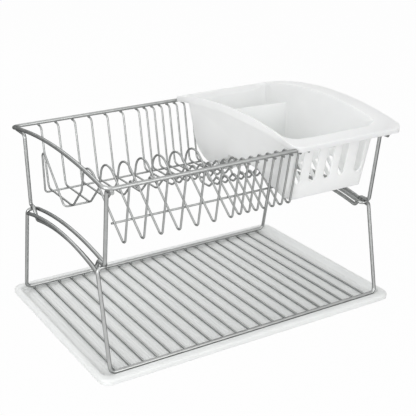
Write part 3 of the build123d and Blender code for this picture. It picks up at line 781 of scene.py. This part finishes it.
cup_middle = middle_run(CUP_RIDGES)
second_ridge = cup_middle[-1][0]
to_ridge_y = second_ridge[0] - rod_y
to_ridge_z = second_ridge[1] - rod_z
past_rod = math.asin(touch / math.hypot(to_ridge_y, to_ridge_z))
low_slope = math.atan2(to_ridge_z, to_ridge_y) - past_rod
arm_slope = (front_arm[0] - trough_y) / (front_arm[1] - trough_z)
rise = second_ridge[1] - (second_ridge[0] - trough_y + arm_slope * trough_z) * math.tan(low_slope)
cup_trough_z = rise / (1 - arm_slope * math.tan(low_slope))
cup_trough = (trough_y + arm_slope * (cup_trough_z - trough_z), cup_trough_z)
cup_middle.append((cup_trough, TROUGH_BEND))
print("trough rod at", round(rod_y, 4), round(rod_z, 4))

# %% Low waves for cups
CUP_WIRES = 7
CUP_PITCH = 14.1 * MM
CUP_START = 14.0 * MM

cup_x = plate_x + (PLATE_WIRES - 1) * PLATE_PITCH + CUP_START
last_cup_x = cup_x + (CUP_WIRES - 1) * CUP_PITCH
cup_path = wave_path(cup_x, cup_middle)
cup_waves = bent_wires("cup_waves", [cup_path], THIN_WIRE, THIN_SIDES, CUP_WIRES, CUP_PITCH)
cup_nodes = [f"cup_wire_{i + 1:02d}" for i in range(CUP_WIRES)]
finish_piece(cup_waves, "upper_rack", cup_nodes)

# %% Rods under the waves
ROD_OVERHANG = 3.4 * MM
ROD_START = 9.5 * MM
FRONT_ROD_WAVES = 2
ROD_BACK_Y = 124.5 * MM
ROD_FRONT_Y = 53.5 * MM
STOP_HEIGHT = 74.0 * MM
STOP_LEAN = 3.5 * MM
STOP_FOOT_BEND = 5.0 * MM
STOP_TOP_BEND = 7.0 * MM
FRONT_ROD_BEND = 6.0 * MM

base_z = floor_z - THIN_WIRE + MELT
stop_x = plate_x - ROD_START
front_end_x = plate_x + (FRONT_ROD_WAVES - 1) * PLATE_PITCH + ROD_OVERHANG
rod_end_x = last_cup_x + ROD_OVERHANG
base_corners = [
    (rod_end_x, ROD_BACK_Y, base_z),
    (stop_x, ROD_BACK_Y, base_z),
    (stop_x, ROD_BACK_Y + STOP_LEAN, base_z + STOP_HEIGHT),
    (stop_x, ROD_FRONT_Y, base_z),
    (front_end_x, ROD_FRONT_Y, base_z),
]
base_path = (base_corners, [0, STOP_FOOT_BEND, STOP_TOP_BEND, FRONT_ROD_BEND, 0], False)
trough_path = straight_path((plate_x - ROD_OVERHANG, rod_y, rod_z), (rod_end_x, rod_y, rod_z))
rods = bent_wires("rods_under_the_waves", [base_path, trough_path], THIN_WIRE, THIN_SIDES)
finish_piece(rods, "upper_rack", ["base_rod", "trough_rod"])

# %% [markdown]
# ## Spot welds
# Crossing wires are pressed together hot, which leaves a small collar of metal at each crossing. Setting a
# sphere by hand on each of more than a hundred crossings would be slow to change. The crossings follow from
# the sizes above, so they are listed as points and one Geometry Nodes tree sets a flattened bead on each.

# %% The tree that sets a bead on every crossing
BEAD_FLATNESS = 0.7


def weld_tree():
    """Geometry Nodes: points in, flattened beads out."""
    tree, given, result = geometry_tree("weld_beads", [
        ("Geometry", "NodeSocketGeometry"),
        ("Radius", "NodeSocketFloat"),
        ("Finish", "NodeSocketMaterial"),
    ])
    bead = add_node(tree, "GeometryNodeMeshIcoSphere", Subdivisions=3)
    place = tree.nodes.new("GeometryNodeInstanceOnPoints")
    place.inputs["Scale"].default_value = (1.0, 1.0, BEAD_FLATNESS)
    real = tree.nodes.new("GeometryNodeRealizeInstances")
    smooth = tree.nodes.new("GeometryNodeSetShadeSmooth")
    finish = tree.nodes.new("GeometryNodeSetMaterial")
    link_all(tree, [
        (given.outputs["Geometry"], place.inputs["Points"]),
        (given.outputs["Radius"], bead.inputs["Radius"]),
        (bead.outputs["Mesh"], place.inputs["Instance"]),
        (place.outputs["Instances"], real.inputs["Geometry"]),
        (real.outputs["Geometry"], smooth.inputs["Geometry"]),
        (smooth.outputs["Geometry"], finish.inputs["Geometry"]),
        (given.outputs["Finish"], finish.inputs["Material"]),
        (finish.outputs["Geometry"], result.inputs["Geometry"]),
    ])
    return tree


WELD_BEADS = weld_tree()
print("tree", WELD_BEADS.name, len(WELD_BEADS.nodes), "nodes")


def weld_beads(name, body, crossings, radius):
    """Beads on a list of crossings, as one plain mesh that rides on a body."""
    mesh = bpy.data.meshes.new(name)
    mesh.from_pydata(crossings, [], [])
    rough = bpy.data.objects.new(name + ".points", mesh)
    scene.collection.objects.link(rough)
    modifier = rough.modifiers.new("beads", "NODES")
    modifier.node_group = WELD_BEADS
    set_inputs(modifier, {"Radius": radius, "Finish": chrome})
    beads = made_plain(rough, name)
    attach(beads, body)
    print(name, len(crossings), "beads")


# %% Welds of the lower rack
SMALL_BEAD = 1.9 * MM
LARGE_BEAD = 3.2 * MM
RAIL_BEAD_IN = 1.5 * MM

shelf_welds = [
    (shelf_x + i * shelf_pitch, side * (rail_y - RAIL_BEAD_IN), RAIL_Z - FRAME_WIRE / 2)
    for i in range(SHELF_WIRES)
    for side in (-1, 1)
]
weld_beads("shelf_welds", "lower_rack", shelf_welds, SMALL_BEAD)
arch_welds = [
    (x, side * (arc_y + FRAME_WIRE / 4), RAIL_Z + arc_height)
    for x in (-end_x, end_x)
    for side in (-1, 1)
]
weld_beads("arch_welds", "lower_rack", arch_welds, LARGE_BEAD)

# %% Welds of the upper rack
LEG_BEAD_IN = 1.0 * MM

wave_xs = [plate_x + i * PLATE_PITCH for i in range(PLATE_WIRES)]
wave_xs += [cup_x + i * CUP_PITCH for i in range(CUP_WIRES)]
rim_welds = [(x, side * rim_y, RIM_Z - FRAME_WIRE / 2) for x in wave_xs for side in (-1, 1)]
base_welds = [(x, ROD_BACK_Y, floor_z - THIN_WIRE / 2) for x in wave_xs]
base_welds += [(x, ROD_FRONT_Y, floor_z - THIN_WIRE / 2) for x in wave_xs[:FRONT_ROD_WAVES]]
half_touch = THIN_WIRE / 2 / slope_length
slope_welds = [(x, rod_y - half_touch * slope_z, rod_z + half_touch * slope_y) for x in wave_xs]
weld_beads("wave_welds", "upper_rack", rim_welds + base_welds + slope_welds, SMALL_BEAD)
leg_welds = [
    (x, side * (rim_y - LEG_BEAD_IN), RIM_Z - FRAME_WIRE / 2)
    for x in (-end_wire_x, end_wire_x)
    for side in (-1, 1)
]
weld_beads("leg_welds", "upper_rack", leg_welds, LARGE_BEAD)

# %% [markdown]
# ## Cutlery basket
# The basket comes out of a mould, so no edge on it is sharp. Its CAD shape is exact, but a solid model
# leaves its edges crisp. A copy of it has its loose triangles joined and its flat faces cleaned, and a Bevel
# modifier rounds every edge that turns sharply, which also gives the lip its soft look.

# %% Join the triangles of a copy
SAME_PLACE = 0.005 * MM
FLAT_WITHIN = math.radians(0.4)

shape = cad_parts["cutlery_basket"].data.copy()
skin = bmesh.new()
skin.from_mesh(shape)
bmesh.ops.remove_doubles(skin, verts=skin.verts, dist=SAME_PLACE)
bmesh.ops.dissolve_limit(skin, angle_limit=FLAT_WITHIN, verts=skin.verts, edges=skin.edges)
skin.to_mesh(shape)
skin.free()
shape.materials.clear()
shape.materials.append(basket_plastic)
rough = bpy.data.objects.new("rounded_basket.sharp", shape)
scene.collection.objects.link(rough)
print(len(shape.polygons), "faces before rounding")

# %% Round its edges
EDGE_ROUND = 0.8 * MM
SHARP_EDGE = math.radians(28)
SMOOTH_BELOW = math.radians(38)

rounding = rough.modifiers.new("rounded edges", "BEVEL")
rounding.limit_method = "ANGLE"
rounding.angle_limit = SHARP_EDGE
rounding.width = EDGE_ROUND
rounding.segments = 3
basket = made_plain(rough, "rounded_basket")
basket.data.shade_smooth()
basket.data.set_sharp_from_angle(angle=SMOOTH_BELOW)
finish_piece(basket, "basket", ["cutlery_basket"])

# %% [markdown]
# ## Drip tray
# The tray's rim rolls over and comes down again as a short skirt, so from above it shows a broad soft border.
# A bevelled copy of the solid has no such roll. Here the border is a stack of rounded outlines, each a little
# further in, joined ring to ring. The rule for an outline is one function, and the roll is one short list.
# Fine ribs on the floor keep wet things off it. They are a row of straight wires made of plastic, sunk so far
# that only their backs stand out.

# %% Rounded outline and the rings between outlines
CORNER_STEPS = 10


def rounded_outline(half_x, half_y, radius, z):
    """Points of a rounded rectangle, anticlockwise."""
    points = []
    for quarter, (side_x, side_y) in enumerate(((1, 1), (-1, 1), (-1, -1), (1, -1))):
        for step in range(CORNER_STEPS + 1):
            angle = math.radians(90 * (quarter + step / CORNER_STEPS))
            x = side_x * (half_x - radius) + radius * math.cos(angle)
            y = side_y * (half_y - radius) + radius * math.sin(angle)
            points.append((x, y, z))
    return points


def ring_stack(name, outlines):
    """Closed skin through a stack of outlines, with a flat cap at each end."""
    skin = bmesh.new()
    rings = [[skin.verts.new(p) for p in outline] for outline in outlines]
    count = len(rings[0])
    for low, high in zip(rings, rings[1:]):
        for i in range(count):
            j = (i + 1) % count
            skin.faces.new((low[i], low[j], high[j], high[i]))
    skin.faces.new(rings[0][::-1])
    skin.faces.new(rings[-1])
    if skin.calc_volume(signed=True) < 0:
        bmesh.ops.reverse_faces(skin, faces=skin.faces)
    mesh = bpy.data.meshes.new(name)
    skin.to_mesh(mesh)
    skin.free()
    return mesh


# %% Roll of the tray's border
TRAY_CORNER = 15.0 * MM
CORNER_SHRINK = 0.45
# Each row is a step in from the ends, in from the long sides and up, in mm. The rows go from the underside
# round to the floor.
BORDER = [
    (13.6, 13.6, 0.0),
    (12.6, 12.8, 0.2),
    (8.0, 10.8, 6.0),
    (5.0, 8.0, 7.0),
    (2.4, 2.4, 6.0),
    (2.4, 2.4, 0.4),
    (2.0, 2.0, 0.1),
    (0.5, 0.5, 0.1),
    (0.1, 0.1, 0.5),
    (0.0, 0.0, 5.4),
    (0.4, 0.5, 7.0),
    (1.5, 2.0, 8.2),
    (3.6, 5.2, 8.9),
    (6.2, 10.0, 9.0),
    (7.4, 11.4, 8.7),
    (8.4, 12.1, 7.9),
    (13.2, 13.9, 3.0),
    (14.1, 14.4, 2.4),
    (15.6, 15.0, 2.2),
]

tray_low, tray_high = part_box("drip_tray")
tray_half_x = (tray_high.x - tray_low.x) / 2
tray_half_y = (tray_high.y - tray_low.y) / 2
outlines = []
for inset_x, inset_y, height in BORDER:
    half_x = tray_half_x - inset_x * MM
    half_y = tray_half_y - inset_y * MM
    radius = TRAY_CORNER - CORNER_SHRINK * inset_x * MM
    outlines.append(rounded_outline(half_x, half_y, radius, height * MM))
tray = bpy.data.objects.new("rolled_tray", ring_stack("rolled_tray", outlines))
scene.collection.objects.link(tray)
tray.data.materials.append(tray_plastic)
tray.data.shade_smooth()
tray.data.set_sharp_from_angle(angle=SMOOTH_BELOW)
finish_piece(tray, "tray", ["drip_tray"])

# %% Ribs on the tray's floor
RIB_PITCH = 5.0 * MM
RIB_WIDE = 2.2 * MM
RIB_HIGH = 0.25 * MM
RIB_SIDES = 16
RIBS_IN_X = 19.0 * MM  # from the tray's ends
RIBS_IN_Y = 18.0 * MM  # from its long sides

rib_reach_x = tray_half_x - RIBS_IN_X
rib_reach_y = tray_half_y - RIBS_IN_Y
ribs = int(2 * rib_reach_x / RIB_PITCH) + 1
rib_x = -RIB_PITCH * (ribs - 1) / 2
rib_z = TRAY_FLOOR + RIB_HIGH - RIB_WIDE / 2
rib_path = straight_path((rib_x, -rib_reach_y, rib_z), (rib_x, rib_reach_y, rib_z))
tray_ribs = bent_wires("tray_ribs", [rib_path], RIB_WIDE, RIB_SIDES, ribs, RIB_PITCH, tray_plastic)
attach(tray_ribs, "tray")
print(ribs, "ribs on the tray's floor")
